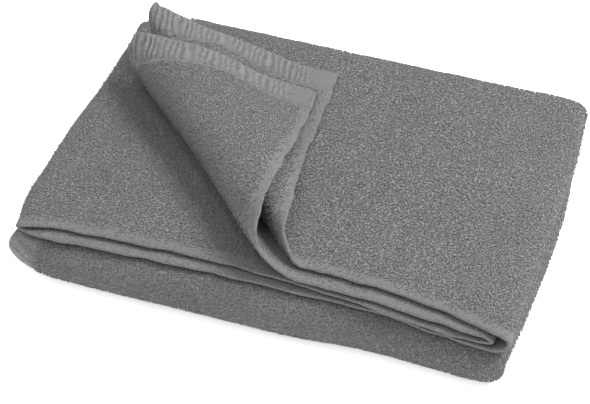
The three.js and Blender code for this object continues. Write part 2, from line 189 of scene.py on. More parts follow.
@dataclass(frozen=True)
class Folds:
    """The way the flat cloth is folded: from a place on the sheet to a place in the stack.

    selvage_line is read by distance along the cloth, roll_line and end_wrap by place along the stack, and
    the tables of the ends and hems by place across the package. hollow is the free radius inside a fold,
    and centre is the point of the stack that becomes the origin.
    """

    length: float = 1000.0
    width: float = 500.0
    hollow: float = 1.0
    top_third: float = 150.5
    low_third: float = 151.0
    centre: tuple[float, float, float] = (128.1, 77.4, 0.45)
    path: PlaneCurve = field(
        default_factory=lambda: PlaneCurve(
            tuple(
                (x, layer * PITCH)
                for x, layer in (
                    (1, 3.5), (40, 3.5), (80, 3.5), (120, 3.5), (180, 3.5), (222, 3.54), (238, 3.6),
                    (247, 3.33), (251.5, 2.45), (251.5, 1.5), (248, 0.75), (240, 0.5), (222, 0.48),
                    (120, 0.5), (60, 0.5), (15, 0.5), (5, 0.46), (0.8, 1.0), (5, 1.54), (15, 1.5),
                    (60, 1.5), (120, 1.5), (215, 1.45), (232, 1.36), (240, 1.42), (244, 2.0), (240, 2.6),
                    (232, 2.6), (215, 2.52), (180, 2.5), (120, 2.5), (80, 2.5), (40, 2.5), (1.5, 2.5),
                )
            ),
            1000.0,
        )
    )
    selvage_line: Table = Table((
        (0, 5.3), (150, 3), (180, 2.5), (215, -1.5), (240, -7), (252, -9), (262, -10), (285, -9),
        (320, -4.5), (360, -5), (420, -6), (470, -8.5), (497, -10), (507, -9), (530, -5), (565, -2.5),
        (620, -1), (655, -2), (690, -4.5), (720, -8.5), (745, -9.5), (760, -9), (790, -6), (820, -3.5),
        (860, -3.5), (1000, -0.9),
    ))
    selvage_fade: float = 140.0
    left_end: Table = Table((
        (-12, 3.5), (-4, 3), (12, 0.1), (34, 0.4), (69, 1), (90, 2.8), (123, 4), (150, 3.6), (200, 1),
        (300, 0), (335, -4), (352, -4.4), (359, -3.2), (365, 0), (371, 3), (380, 3), (395, 1), (410, 0),
        (500, 0),
    ))
    right_end: Table = Table((
        (-12, 0), (-4, 0.3), (20, 1), (55, 2.2), (90, 4), (120, 4.8), (150, 3.2), (190, 1), (230, 4),
        (320, 0), (350, -2.6), (362, -2), (374, -0.5), (500, 1),
    ))
    end_reach: float = 60.0
    right_from: float = 190.0
    top_hem: Table = Table((
        (-10, -1), (0, 0), (12, 2), (22, 1.6), (32, -1.6), (50, -6.5), (58, -6.5), (64, -4.4), (70, -1.2),
        (76, 2.6), (82, 3.8), (88, 3), (96, 1.6), (101, -0.2), (104, -0.8), (108.5, -1.8), (111, 9),
        (113, 15.5), (117, 18), (130, 18), (145, 16), (160, 12), (200, 8), (330, 3), (346, -0.5), (358, -1),
        (370, 0), (400, 3), (500, 4),
    ))
    second_hem: Table = Table((
        (-10, 3.7), (40, 4.3), (60, 7.4), (70, 8.1), (80, 6.8), (87, 5.4), (92, 4.6), (97, 5.2), (99.5, 13),
        (102, 18), (106, 18.5), (120, 17.5), (135, 15), (160, 13), (200, 6), (330, 3), (358, 1), (400, 3),
        (500, 3),
    ))
    hem_reach: float = 120.0
    lift_front: tuple[float, float] = (153.1, 0.0)
    lift_back: tuple[float, float] = (14.5, 142.8)
    flap_limit: float = 175.0
    flap_settle: float = 45.0
    slip_reach: float = 60.0
    flap: tuple[FlapLayer, FlapLayer] = (
        FlapLayer(
            first=0.0,
            last=250.0,
            roll=PlaneCurve((
                (0, 0), (1.5, 0.6), (2.6, 3.3), (3.1, 8.4), (2.6, 14.3), (0.8, 17.7), (-3.2, 18.2),
                (-13, 15.1), (-25, 7.4), (-34.3, 2.3), (-44.5, 0.3), (-57.5, 0), (-70, 0), (-120, 0),
            )),
            size=Table(((-60, 0.68), (0, 0.68), (100, 0.93), (150, 1.2), (200, 1.5), (300, 1.5))),
            early=-2.1,
            slip=9.6,
            rest=PITCH,
        ),
        FlapLayer(
            first=750.0,
            last=1000.0,
            roll=PlaneCurve((
                (0, 0), (8, 0.3), (15.4, 2.1), (21.2, 6.3), (22.8, 11.4), (19.4, 16.6), (12.6, 19.6),
                (3.4, 20.2), (-4.8, 19.4), (-14.5, 16.8), (-27.1, 10.2), (-36.8, 5.2), (-47.4, 1.9),
                (-61, 0.7), (-73, 0.3), (-126, 0.3),
            )),
            size=Table(((-60, 0.81), (0, 0.81), (100, 0.82), (142, 0.95), (175, 0.97), (300, 0.97))),
            early=0.0,
            slip=5.1,
            rest=3 * PITCH,
        ),
    )
    roll_line: Table = Table((
        (-10, -1), (20, -1.8), (60, -1.5), (100, -0.8), (150, 0), (185, 3), (215, 2.5), (250, 2),
    ))
    roll_depth: float = 50.0
    roll_top: float = 31.0
    roll_fade: float = 8.0
    end_draw: float = 100.0
    end_power: float = 3.2
    end_front: float = 2.0
    end_depth: float = 16.0
    end_most: float = 0.9
    end_top: float = 29.0
    end_fade: float = 9.0
    end_draw_reach: float = 95.0
    end_draw_limit: float = 1.1
    end_wrap: Table = Table((
        (-9, 12), (-6, 10.5), (0, 6.3), (7.7, 2.8), (16, 1.0), (26, 0.2), (40, 0), (60, 0),
    ))
    wrap_layer: float = 100.0
    edge_waves: Waves = ((31.0, 0.35, 0.1), (17.0, 0.25, 0.45), (8.3, 0.2, 0.8))
    edge_reach: float = 16.0
    probe: float = 0.4

    @property
    def back_radius(self) -> float:
        """Radius of the back fold at the middle of the four layers."""
        return 4 * PITCH + self.hollow

    @property
    def front_radius(self) -> float:
        """Radius of the front fold at the middle of the four layers."""
        return 2 * PITCH + self.hollow

    @property
    def turns(self) -> tuple[float, float, float, float]:
        """Where the back fold starts and ends over the package, and then the front fold."""
        low = self.top_third + math.pi * self.back_radius
        front = low + self.low_third
        return self.top_third, low, front, front + math.pi * self.front_radius

    def turned(
        self, x: np.ndarray, across: np.ndarray, height: np.ndarray, along: np.ndarray
    ) -> tuple[np.ndarray, ...]:
        """Turn the corner of the two upper layers back.

        Args:
            x: Place along the stack.
            across: Place over the flat package.
            height: Height in the package.
            along: Distance along the cloth, which says the layer.

        Returns:
            The three places with the corner turned.
        """
        front, back = np.array(self.lift_front), np.array(self.lift_back)
        run = (back - front) / np.linalg.norm(back - front)
        out_way = np.array([-run[1], run[0]])
        x, across, height = x.copy(), across.copy(), height.copy()
        for layer in self.flap:
            past = (x - front[0]) * out_way[0] + (across - front[1]) * out_way[1] + layer.early
            on = (along >= layer.first) & (along <= layer.last)
            on &= (across <= self.flap_limit) & (past > 0)
            past = past[on]
            place = (x[on] - front[0]) * run[0] + (across[on] - front[1]) * run[1]
            scale = layer.size.read(place)
            out, up = layer.roll.at(past / scale)
            out = out * scale - layer.early
            slid = place + layer.slip * smooth(past / self.slip_reach)
            x[on] = front[0] + out_way[0] * out + run[0] * slid
            across[on] = front[1] + out_way[1] * out + run[1] * slid
            height[on] += up * scale + layer.rest * smooth(past / (self.flap_settle * scale))
        return x, across, height

    def package(self, along: np.ndarray, over: np.ndarray) -> tuple[np.ndarray, ...]:
        """Place in the four layer package before it is folded across its width.

        Args:
            along: Distances along the cloth.
            over: Distances over its width.

        Returns:
            Place along the stack, place across the package, and height in it.
        """
        x, height = self.path.at(along)
        start = x.copy()
        wave = ripple(along, self.edge_waves) * smooth(1 - over / self.edge_reach)
        across = over + self.selvage_line.read(along) * smooth(1 - over / self.selvage_fade) + wave
        x = x + self.left_end.read(across) * smooth(1 - start / self.end_reach)
        x = x + self.right_end.read(across) * smooth((start - self.right_from) / self.end_reach)
        x = x + self.top_hem.read(across) * smooth(1 - along / self.hem_reach)
        x = x + self.second_hem.read(across) * smooth(1 - (self.length - along) / self.hem_reach)
        return self.turned(x, across, height, along)

    def across_fold(self, x: np.ndarray, across: np.ndarray, height: np.ndarray) -> np.ndarray:
        """Fold the package in three across its width.

        Args:
            x: Place along the stack.
            across: Place over the flat package.
            height: Height in the package.

        Returns:
            Points, one row each.
        """
        back_from, low_from, front_from, inner_from = self.turns
        front_y = self.top_third - self.low_third
        back_turn = (across - back_from) / self.back_radius
        back_out = self.back_radius + height - 2 * PITCH
        front_turn = (across - front_from) / self.front_radius
        front_out = self.hollow + height
        parts = [across <= back_from, across <= low_from, across <= front_from, across <= inner_from]
        y = np.select(
            parts,
            [
                across,
                back_from + back_out * np.sin(back_turn),
                back_from - (across - low_from),
                front_y - front_out * np.sin(front_turn),
            ],
            front_y + across - inner_from,
        )
        z = np.select(
            parts,
            [
                8 * PITCH + 2 * self.hollow + height,
                6 * PITCH + self.hollow + back_out * np.cos(back_turn),
                4 * PITCH - height,
                4 * PITCH + self.hollow - front_out * np.cos(front_turn),
            ],
            4 * PITCH + 2 * self.hollow + height,
        )
        return np.stack([x, y, z], -1)

    def middle(self, along: np.ndarray, over: np.ndarray) -> np.ndarray:
        """Middle surface of the cloth.

        Args:
            along: Distances along the cloth.
            over: Distances over its width.

        Returns:
            Points in the towel's frame, one row each.
        """
        points = self.across_fold(*self.package(along, over))
        x, y, z = points.T
        low = smooth((self.roll_top - z) / self.roll_fade)
        near = smooth((self.roll_depth - y) / self.roll_depth)
        y = y + self.roll_line.read(x) * near * low
        at_end = smooth((self.end_top - z) / self.end_fade)
        outer = along < self.wrap_layer
        depth = np.clip((self.end_front - y) / self.end_depth, 0, self.end_most)
        draw = self.end_draw * depth**self.end_power * at_end
        x = x + np.where(outer, 0.0, draw * np.clip(1 - x / self.end_draw_reach, 0, self.end_draw_limit))
        wrap = self.end_wrap.read(x) * at_end * np.minimum(depth / self.end_most, 1)
        y = y + np.where(outer, wrap, 0.0)
        z = np.maximum(z, PITCH / 2)
        return np.stack([x, y, z], -1) - np.array(self.centre)

    def normal(self, along: np.ndarray, over: np.ndarray) -> np.ndarray:
        """Direction square to the cloth, on the side that faces out of the stack's top.

        Args:
            along: Distances along the cloth.
            over: Distances over its width.

        Returns:
            Unit vectors, one row each.
        """
        step = self.probe
        low, high = np.maximum(along - step, 0), np.minimum(along + step, self.length)
        left, right = np.maximum(over - step, 0), np.minimum(over + step, self.width)
        run = self.middle(high, over) - self.middle(low, over)
        side = self.middle(along, right) - self.middle(along, left)
        way = np.cross(run, side)
        return way / np.maximum(np.linalg.norm(way, axis=1, keepdims=True), TINY)


@dataclass(frozen=True)
class ClothFace:
    """What stands proud of the sheet's middle: woven selvages, ribbed hems and the ground of the pile."""

    ground: float = 1.0
    ground_along: Waves = ((41.0, 0.05, 0.2), (23.0, 0.04, 0.7))
    ground_over: Waves = ((37.0, 1.0, 0.4), (19.0, 0.7, 0.1))
    selvage: float = 0.95
    selvage_width: float = 7.5
    selvage_blur: float = 2.0
    hem: float = 1.15
    hem_width: float = 15.5
    hem_blur: float = 1.2
    corner: float = 13.0
    corner_blur: float = 3.0
    rib_pitch: float = 3.4
    rib_height: float = 0.7
    rib_wave: float = 0.6
    rib_slant: float = 0.12
    rib_sharp: float = 0.55
    rib_start: tuple[float, float] = (0.8, 2.5)
    rib_stop: tuple[float, float] = (1.0, 3.5)
    wander: Waves = ((29.0, 0.9, 0.3), (13.0, 0.5, 0.6))
    stray: Waves = ((11.0, 0.35, 0.2), (6.3, 0.2, 0.7))
    stray_slant: float = 0.7
    swell: Waves = ((9.7, 0.15, 0.15), (15.3, 0.15, 0.5))
    swell_slant: float = 0.4
    swell_mean: float = 0.75
    seam_depth: float = 0.45
    seam_width: float = 0.8
    edge_round: float = 1.1

    def from_edges(self, folds: Folds, along: np.ndarray, over: np.ndarray) -> tuple[np.ndarray, np.ndarray]:
        """How far places are from the nearer hem's edge and from the nearer selvage's edge."""
        return np.minimum(along, folds.length - along), np.minimum(over, folds.width - over)

    def ribs(self, folds: Folds, along: np.ndarray, over: np.ndarray) -> np.ndarray:
        """Gathered ribs that cross the hems.

        Args:
            folds: The folded sheet, for its size.
            along: Distances along the cloth.
            over: Distances over its width.

        Returns:
            A height for each place, from -1 in a groove to 1 on a rib.
        """
        from_hem, from_selvage = self.from_edges(folds, along, over)
        wander = ripple(over, self.wander) + ripple(from_hem + self.stray_slant * over, self.stray)
        phase = (over + wander + self.rib_slant * from_hem) / self.rib_pitch
        swell = self.swell_mean + ripple(over + self.swell_slant * from_hem, self.swell)
        (start, rise), (stop, fall) = self.rib_start, self.rib_stop
        band = smooth((from_hem - start) / rise) * smooth((self.hem_width + stop - from_hem) / fall)
        band = band * smooth((from_selvage - self.corner) / self.corner_blur)
        wave = 0.5 + 0.5 * np.sin(TURN * phase)
        return (2 * wave**self.rib_sharp - 1) * swell * band

    def half_thickness(self, folds: Folds, along: np.ndarray, over: np.ndarray) -> np.ndarray:
        """Distance from the sheet's middle to its face.

        Args:
            folds: The folded sheet, for its size.
            along: Distances along the cloth.
            over: Distances over its width.

        Returns:
            One distance for each place.
        """
        from_hem, from_selvage = self.from_edges(folds, along, over)
        half = self.ground + ripple(along, self.ground_along) * ripple(over, self.ground_over)
        half += (self.selvage - half) * smooth(
            (self.selvage_width + self.selvage_blur / 2 - from_selvage) / self.selvage_blur
        )
        half += (self.hem - half) * smooth((self.hem_width + self.hem_blur / 2 - from_hem) / self.hem_blur)
        half += self.rib_height / 2 * self.ribs(folds, along, over)
        half -= self.seam_depth * np.exp(-(((from_hem - self.hem_width) / self.seam_width) ** 2))
        edge = np.clip(np.minimum(from_hem, from_selvage) / self.edge_round, 0, 1)
        return half * np.sqrt(1 - (1 - edge) ** 2)


def lines(total: float, effort: np.ndarray, keep: tuple[float, ...]) -> np.ndarray:
    """Grid lines spread by effort, with some kept exactly.

    Args:
        total: Size that they span.
        effort: Lines wanted in each step of FINE.
        keep: Lines near an edge, measured from each edge.

    Returns:
        Rising places from 0 to total.
    """
    first, last = keep[-1], total - keep[-1]
    run = np.concatenate([[0], np.cumsum(effort)])
    places = np.arange(len(run)) * FINE
    low, high = np.interp([first, last], places, run)
    inner = np.interp(np.linspace(low, high, math.ceil(high - low) + 1), run, places)
    edge = np.array(keep)
    return np.concatenate([edge[:-1], inner, (total - edge[:-1])[::-1]])


@dataclass
class TowelSheet:
    """The folded sheet itself, as one closed skin."""

    folds: Folds
    face: ClothFace
    flap_step: float = 3.6
    run_step: float = 9.0
    along_turn: float = 0.34
    over_turn: float = 0.19
    flap_reach: float = 170.0
    fold_slack: float = 8.0
    rib_step: float = 0.68
    rib_reach: float = 160.0
    hem_rows: tuple[float, ...] = (
        0, 0.1, 0.35, 0.7, 1.1, 2, 3, 4.5, 6.5, 8.5, 10.5, 12.5, 14, 14.9, 15.5, 16.1, 17, 18,
    )
    selvage_rows: tuple[float, ...] = (0, 0.1, 0.35, 0.7, 1.1, 3, 5.5, 7, 8, 9)

    def rows_along(self) -> np.ndarray:
        """Grid lines over the length: closer where the layers turn and on the flap.

        Returns:
            Rising distances along the cloth.
        """
        count = round(self.folds.length / FINE)
        at = (np.arange(count) + 0.5) * FINE
        x, height = self.folds.path.at(np.arange(count + 1) * FINE)
        way = np.unwrap(np.arctan2(np.diff(height), np.diff(x)))
        turn = np.abs(np.gradient(way))
        flap = np.minimum(at, self.folds.length - at) < self.flap_reach
        step = np.where(flap, self.flap_step, self.run_step)
        return lines(self.folds.length, FINE / step + turn / self.along_turn, self.hem_rows)

    def rows_over(self) -> np.ndarray:
        """Grid lines over the width: closer in the back and front folds and on the flap.

        Returns:
            Rising distances over the cloth.
        """
        folds, slack = self.folds, self.fold_slack
        at = (np.arange(round(folds.width / FINE)) + 0.5) * FINE
        back, low, front, inner = folds.turns
        turn = np.where((at > back - slack) & (at < low + 2 * slack), FINE / folds.back_radius, 0.0)
        turn = np.where((at > front - slack) & (at < inner + 2 * slack), FINE / folds.front_radius, turn)
        step = np.where(at < back, self.flap_step, self.run_step)
        return lines(folds.width, FINE / step + turn / self.over_turn, self.selvage_rows)

    def skin(self) -> tuple[np.ndarray, list[tuple[int, ...]], np.ndarray]:
        """Both faces of the sheet, joined along its edges.

        Returns:
            Points in millimetres, faces, and each point's place on the flat cloth.
        """
        along, over = self.rows_along(), self.rows_over()
        spans = list(zip(over, over[1:]))
        parts = [max(1, math.ceil((b - a) / self.rib_step)) if b <= self.rib_reach else 1 for a, b in spans]
        split = [np.linspace(a, b, n, endpoint=False) for (a, b), n in zip(spans, parts)]
        fine = np.concatenate([*split, over[-1:]])
        coarse = np.concatenate([[0], np.cumsum(parts)]).astype(int)
        band = len(self.hem_rows)
        is_fine = np.arange(len(along)) < band
        is_fine |= is_fine[::-1]
        ids = np.full((2, len(along), len(fine)), -1)
        places = []
        count = 0
        for side in (0, 1):
            for i, here in enumerate(is_fine):
                cols = np.arange(len(fine)) if here else coarse
                on_edge = np.zeros(len(cols), bool)
                if side:
                    on_edge = (cols == 0) | (cols == len(fine) - 1) | (i in (0, len(along) - 1))
                    ids[1, i, cols[on_edge]] = ids[0, i, cols[on_edge]]
                new = cols[~on_edge]
                ids[side, i, new] = count + np.arange(len(new))
                count += len(new)
                sign = np.full(len(new), 1.0 - 2.0 * side)
                places.append(np.stack([np.full(len(new), along[i]), fine[new], sign], -1))
        place = np.vstack(places)
        faces: list[tuple[int, ...]] = []
        for side in (0, 1):
            for i in range(len(along) - 1):
                both = is_fine[i] and is_fine[i + 1]
                cols = np.arange(len(fine)) if both else coarse
                for a, b in zip(cols, cols[1:]):
                    near = ids[side, i, a : b + 1] if is_fine[i] else ids[side, i, [a, b]]
                    far = ids[side, i + 1, a : b + 1] if is_fine[i + 1] else ids[side, i + 1, [a, b]]
                    ring = (*far.tolist(), *near[::-1].tolist())
                    faces.append(ring if side == 0 else ring[::-1])
        return self.surface(place[:, 0], place[:, 1], place[:, 2]), faces, place[:, :2]

    def surface(self, along: np.ndarray, over: np.ndarray, side: np.ndarray) -> np.ndarray:
        """Points on a face of the cloth.

        Args:
            along: Distances along the cloth.
            over: Distances over its width.
            side: 1 for the face that is outside in the stack, -1 for the other.

        Returns:
            Points in millimetres, one row each.
        """
        out = self.face.half_thickness(self.folds, along, over) * side
        shown = np.where(along > self.folds.length / 2, 1.0, -1.0)
        out = out + self.face.rib_wave * shown * self.face.ribs(self.folds, along, over)
        points = self.folds.middle(along, over) + self.folds.normal(along, over) * out[:, None]
        points[:, 2] = np.maximum(points[:, 2], 0.0)
        return points

    def build(self) -> bpy.types.Object:
        """Make the sheet's object.

        Returns:
            The new object, with its place on the flat cloth as UV in metres.
        """
        points, faces, place = self.skin()
        mesh = bpy.data.meshes.new("towel_sheet")
        mesh.from_pydata((points * MM).tolist(), [], faces)
        uv = mesh.uv_layers.new(name="cloth")
        corner = np.empty(len(mesh.loops), np.int32)
        mesh.loops.foreach_get("vertex_index", corner)
        uv.data.foreach_set("uv", (place[corner][:, ::-1] * MM).astype(np.float32).ravel())
        # The rib height, kept for the finish's painted shade in the grooves and painted light on the ribs.
        groove = -self.face.ribs(self.folds, place[:, 0], place[:, 1])
        mesh.attributes.new(GROOVE, "FLOAT", "POINT").data.foreach_set("value", groove.astype(np.float32))
        mesh.shade_smooth()
        mesh.update()
        return placed("towel_sheet", mesh)


@dataclass
class TerryPile:
    """Yarn loops on every face of the sheet that can be seen from above the floor.

    skin holds the sheet's own faces, in millimetres.
    """

    sheet: TowelSheet
    skin: BVHTree
    pitch: float = 1.24
    yarn_radius: float = 0.3
    height: float = 0.6
    half_span: float = 0.24
    crest: float = 0.7
    sunk: float = 0.3
    lean: float = 0.3
    jitter: float = 0.45
    most_in_piece: int = 16000
    seed: int = 7
    seen_step: float = 4.0
    seen_ways: tuple[tuple[int, int], ...] = ((4, 12), (22, 10), (45, 8), (68, 6))
    clear_ways: int = 3
    off_face: float = 0.5
    least_rise: float = 0.04
    tall: tuple[float, float] = (0.65, 1.15)
    wide: tuple[float, float] = (0.75, 1.25)
    shoulder_out: float = 0.6
    steep: float = 0.9
    bare_edge: float = 1.8
    thin_edge: float = 5.0
    thin_power: float = 0.7
    back_stretch: float = 1.4
    front_stretch: float = 1.6

    def seen(self) -> np.ndarray:
        """Which parts of the cloth can be seen.

        Returns:
            For each face, place along and place over, whether a straight way leads out.
        """
        folds = self.sheet.folds
        along = np.arange(0, folds.length + 0.1, self.seen_step)
        over = np.arange(0, folds.width + 0.1, self.seen_step)
        grid_a, grid_o = (g.ravel() for g in np.meshgrid(along, over, indexing="ij"))
        ways = [Vector((0, 0, 1))]
        for elevation, count in self.seen_ways:
            rise = math.radians(elevation)
            flat = math.cos(rise)
            for k in range(count):
                turn = TURN * (k + elevation / 90) / count
                ways.append(Vector((math.cos(turn) * flat, math.sin(turn) * flat, math.sin(rise))))
        found = np.zeros((2, len(grid_a)), bool)
        normals = folds.normal(grid_a, grid_o)
        for n, side in enumerate((1.0, -1.0)):
            face = self.sheet.surface(grid_a, grid_o, np.full(len(grid_a), side))
            starts = face + normals * side * self.off_face
            for k, (start, normal) in enumerate(zip(starts, normals * side)):
                point, out = Vector(start), Vector(normal)
                clear = 0
                for way in ways:
                    if way.dot(out) > self.least_rise and self.skin.ray_cast(point, way)[0] is None:
                        clear += 1
                        if clear == self.clear_ways:
                            found[n, k] = True
                            break
        return found.reshape(2, len(along), len(over))

    def lines_over(self) -> np.ndarray:
        """Lines of loops over the width, closer where the outer layers go round a fold.

        Returns:
            Rising distances over the cloth.
        """
        back, low, front, inner = self.sheet.folds.turns
        lines_at = [self.bare_edge]
        while lines_at[-1] < self.sheet.folds.width - self.bare_edge:
            here = lines_at[-1]
            in_back, in_front = back < here < low, front < here < inner
            stretch = self.back_stretch if in_back else self.front_stretch if in_front else 1.0
            lines_at.append(here + self.pitch / stretch)
        return np.array(lines_at[:-1])

    def roots(self) -> tuple[np.ndarray, np.ndarray, np.ndarray]:
        """Where loops stand.

        Returns:
            Distance along the cloth, distance over it, and the face, one of each for a loop.
        """
        folds, face = self.sheet.folds, self.sheet.face
        seen = self.seen()
        random = np.random.default_rng(self.seed)
        along, over = np.meshgrid(
            np.arange(face.hem_width + 1, folds.length - face.hem_width - 1, self.pitch),
            self.lines_over(),
            indexing="ij",
        )
        found = []
        for n, side in enumerate((1.0, -1.0)):
            shift = random.uniform(-self.jitter, self.jitter, (2, along.size)) * self.pitch
            a, o = along.ravel() + shift[0], over.ravel() + shift[1]
            cell = [(place / self.seen_step + 0.5).astype(int) for place in (a, o)]
            shown = seen[n][cell[0], cell[1]]
            thick = (np.minimum(o, folds.width - o) - self.bare_edge) / self.thin_edge
            shown &= thick > random.uniform(0, 1, a.size) ** self.thin_power
            found.append(np.stack([a[shown], o[shown], np.full(shown.sum(), side)], -1))
        a, o, side = np.vstack(found).T
        return a, o, side

    def loops(
        self, a: np.ndarray, o: np.ndarray, side: np.ndarray, random: np.random.Generator
    ) -> tuple[np.ndarray, np.ndarray]:
        """The closed skins of some loops.

        Args:
            a: Distance along the cloth of each root.
            o: Distance over it.
            side: The face it stands on.
            random: Source of the loops' unevenness.

        Returns:
            Points in millimetres, and triangles.
        """
        count = len(a)
        normal = self.sheet.folds.normal(a, o) * side[:, None]
        root = self.sheet.surface(a, o, side)
        steep = np.abs(normal[:, 2:]) >= self.steep
        first = np.cross(normal, np.where(steep, [[1.0, 0.0, 0.0]], [[0.0, 0.0, 1.0]]))
        first /= np.linalg.norm(first, axis=1, keepdims=True)
        second = np.cross(normal, first)
        turn = random.uniform(0, TURN, (count, 1))
        span = first * np.cos(turn) + second * np.sin(turn)
        across = np.cross(normal, span)
        tilt = random.uniform(-1, 1, (2, count, 1)) * self.lean
        tip = first * tilt[0] + second * tilt[1]
        shoulder = normal * self.height * random.uniform(*self.tall, (count, 1)) + tip
        span_half = span * self.half_span * random.uniform(*self.wide, (count, 1))
        foot = root - normal * self.sunk
        points = np.empty((count, 8, 3))
        points[:, 0], points[:, 7] = foot - span_half, foot + span_half
        for ring, way in enumerate((-1.0, 1.0)):
            middle = root + span_half * way * self.crest + shoulder
            out = normal + span * way * self.shoulder_out
            out /= np.linalg.norm(out, axis=1, keepdims=True)
            for corner in range(3):
                angle = TURN * (corner / 3 + 1 / 4)
                around = math.sin(angle) * out + math.cos(angle) * across
                points[:, 1 + 3 * ring + corner] = middle + self.yarn_radius * around
        faces = []
        for k in range(3):
            n = (k + 1) % 3
            faces += [(0, 1 + k, 1 + n), (1 + k, 4 + k, 4 + n), (1 + k, 4 + n, 1 + n), (4 + k, 7, 4 + n)]
        points = points.reshape(-1, 3)
        points[:, 2] = np.maximum(points[:, 2], 0.0)
        triangles = np.array(faces)[None] + 8 * np.arange(count)[:, None, None]
        return points, triangles.reshape(-1, 3)

    def build(self) -> list[bpy.types.Object]:
        """Make the pile's objects.

        Returns:
            The new objects.
        """
        a, o, side = self.roots()
        random = np.random.default_rng(self.seed + 1)
        parts = math.ceil(len(a) / self.most_in_piece)
        made = []
        for n, part in enumerate(np.array_split(np.arange(len(a)), parts)):
            points, triangles = self.loops(a[part], o[part], side[part], random)
            mesh = bpy.data.meshes.new(f"terry_loops_{n + 1}")
            mesh.from_pydata((points * MM).tolist(), [], triangles.tolist())
            mesh.shade_smooth()
            mesh.update()
            made.append(placed(mesh.name, mesh))
            log.info("%s: %d loops", mesh.name, len(part))
        return made


class GroupSocket(Enum):
    """Kinds of socket that the finishes' node groups use."""

    NUMBER = "NodeSocketFloat"
    COLOUR = "NodeSocketColor"
    PLACE = "NodeSocketVector"


class Wiring:
    """Short ways to add and join the nodes of one tree."""

    def __init__(self, tree: bpy.types.NodeTree) -> None:
        """Take the tree."""
        self.tree = tree

    def add(self, kind: str, feeds: Feeds | None = None, **settings: object) -> bpy.types.Node:
        """Add a shader node.

        Args:
            kind: Its type, without the word ShaderNode.
            feeds: A plain value or another node's output for each of its inputs, by name or number.
            settings: Its own settings.

        Returns:
            The node.
        """
        node = self.tree.nodes.new(f"ShaderNode{kind}")
        for name, value in settings.items():
            setattr(node, name, value)
        self.feed(node, feeds or {})
        return node

    def feed(self, node: bpy.types.Node, feeds: Feeds) -> None:
        """Set or join a node's inputs.

        Args:
            node: The node.
            feeds: A plain value or another node's output for each input.
        """
        for name, value in feeds.items():
            if isinstance(value, bpy.types.NodeSocket):
                self.tree.links.new(value, node.inputs[name])
            else:
                node.inputs[name].default_value = value

    def math(self, operation: str, *values: object) -> bpy.types.NodeSocket:
        """The result of one step of arithmetic on plain values or other nodes' outputs."""
        return self.add("Math", dict(enumerate(values)), operation=operation).outputs[0]


class FinishGroup(Wiring):
    """A shared node group with named inputs and outputs."""

    def __init__(self, name: str, given: dict[str, GroupSocket], made: dict[str, GroupSocket]) -> None:
        """Make the empty group.

        Args:
            name: Its name.
            given: Its inputs.
            made: Its outputs.
        """
        super().__init__(bpy.data.node_groups.new(name, "ShaderNodeTree"))
        for way, sockets in (("INPUT", given), ("OUTPUT", made)):
            for label, kind in sockets.items():
                self.tree.interface.new_socket(name=label, in_out=way, socket_type=kind.value)
        self.given = self.tree.nodes.new("NodeGroupInput").outputs
        self.made = self.tree.nodes.new("NodeGroupOutput")

    def close(self, results: dict[str, bpy.types.NodeSocket]) -> bpy.types.NodeTree:
        """Say what each output gives, which finishes the group."""
        self.feed(self.made, results)
        return self.tree


@dataclass(frozen=True)
class CottonTint:
    """Node group: yarn colour that varies from loop to loop and in broad patches."""

    fine: float = 1000.0
    broad: float = 34.0
    detail: float = 2.0

    def build(self) -> bpy.types.NodeTree:
        """Make the group.

        Returns:
            The group, with base colour and two amounts in, and a colour out.
        """
        number, colour = GroupSocket.NUMBER, GroupSocket.COLOUR
        given = {"Base": colour, "Fine Amount": number, "Broad Amount": number}
        group = FinishGroup("cotton_tint", given, {"Tint": colour})
        place = group.add("TexCoord").outputs["Object"]
        factors = []
        for scale, amount in ((self.fine, "Fine Amount"), (self.broad, "Broad Amount")):
            noise = group.add("TexNoise", {"Vector": place, "Scale": scale, "Detail": self.detail})
            centred = group.math("SUBTRACT", noise.outputs["Fac"], 0.5)
            factors.append(group.math("MULTIPLY_ADD", centred, group.given[amount], 1.0))
        factor = group.math("MULTIPLY", *factors)
        tint = group.add("VectorMath", {0: group.given["Base"], "Scale": factor}, operation="SCALE")
        return group.close({"Tint": tint.outputs[0]})


@dataclass(frozen=True)
class FlatWeave:
    """Node group: the fine plain weave of hems and selvages, as a height."""

    threads: float = 1500.0
    crossing: float = 0.35

    def build(self) -> bpy.types.NodeTree:
        """Make the group.

        Returns:
            The group, with a place on the cloth in, and a height out.
        """
        given = {"Cloth Place": GroupSocket.PLACE}
        group = FinishGroup("flat_weave", given, {"Height": GroupSocket.NUMBER})
        place = group.given["Cloth Place"]
        apart = group.add("SeparateXYZ", {0: place})
        phases = [group.math("MULTIPLY", apart.outputs[axis], self.threads * math.pi) for axis in "XY"]
        crossed = group.math("MULTIPLY", *(group.math("SINE", phase) for phase in phases))
        fuzz = group.add("TexNoise", {"Vector": place, "Scale": self.threads}).outputs["Fac"]
        return group.close({"Height": group.math("MULTIPLY_ADD", crossed, self.crossing, fuzz)})


@dataclass(frozen=True)
class LoopGround:
    """Node group: short loops that fill the gaps between the built ones, as a height and a painted shade,
    dark in the gaps between them.
    """

    grain: float = 1250.0
    detail: float = 1.0
    low: float = 0.36
    high: float = 0.62

    def build(self) -> bpy.types.NodeTree:
        """Make the group.

        Returns:
            The group, with a place in, and a height and a shade out.
        """
        number = GroupSocket.NUMBER
        group = FinishGroup("loop_ground", {"Place": GroupSocket.PLACE}, {"Height": number, "Shade": number})
        feeds = {"Vector": group.given["Place"], "Scale": self.grain, "Detail": self.detail}
        noise = group.add("TexNoise", feeds)
        tuft = group.add(
            "MapRange",
            {"Value": noise.outputs["Fac"], "From Min": self.low, "From Max": self.high},
            interpolation_type="SMOOTHSTEP",
        ).outputs["Result"]
        return group.close({"Height": tuft, "Shade": tuft})


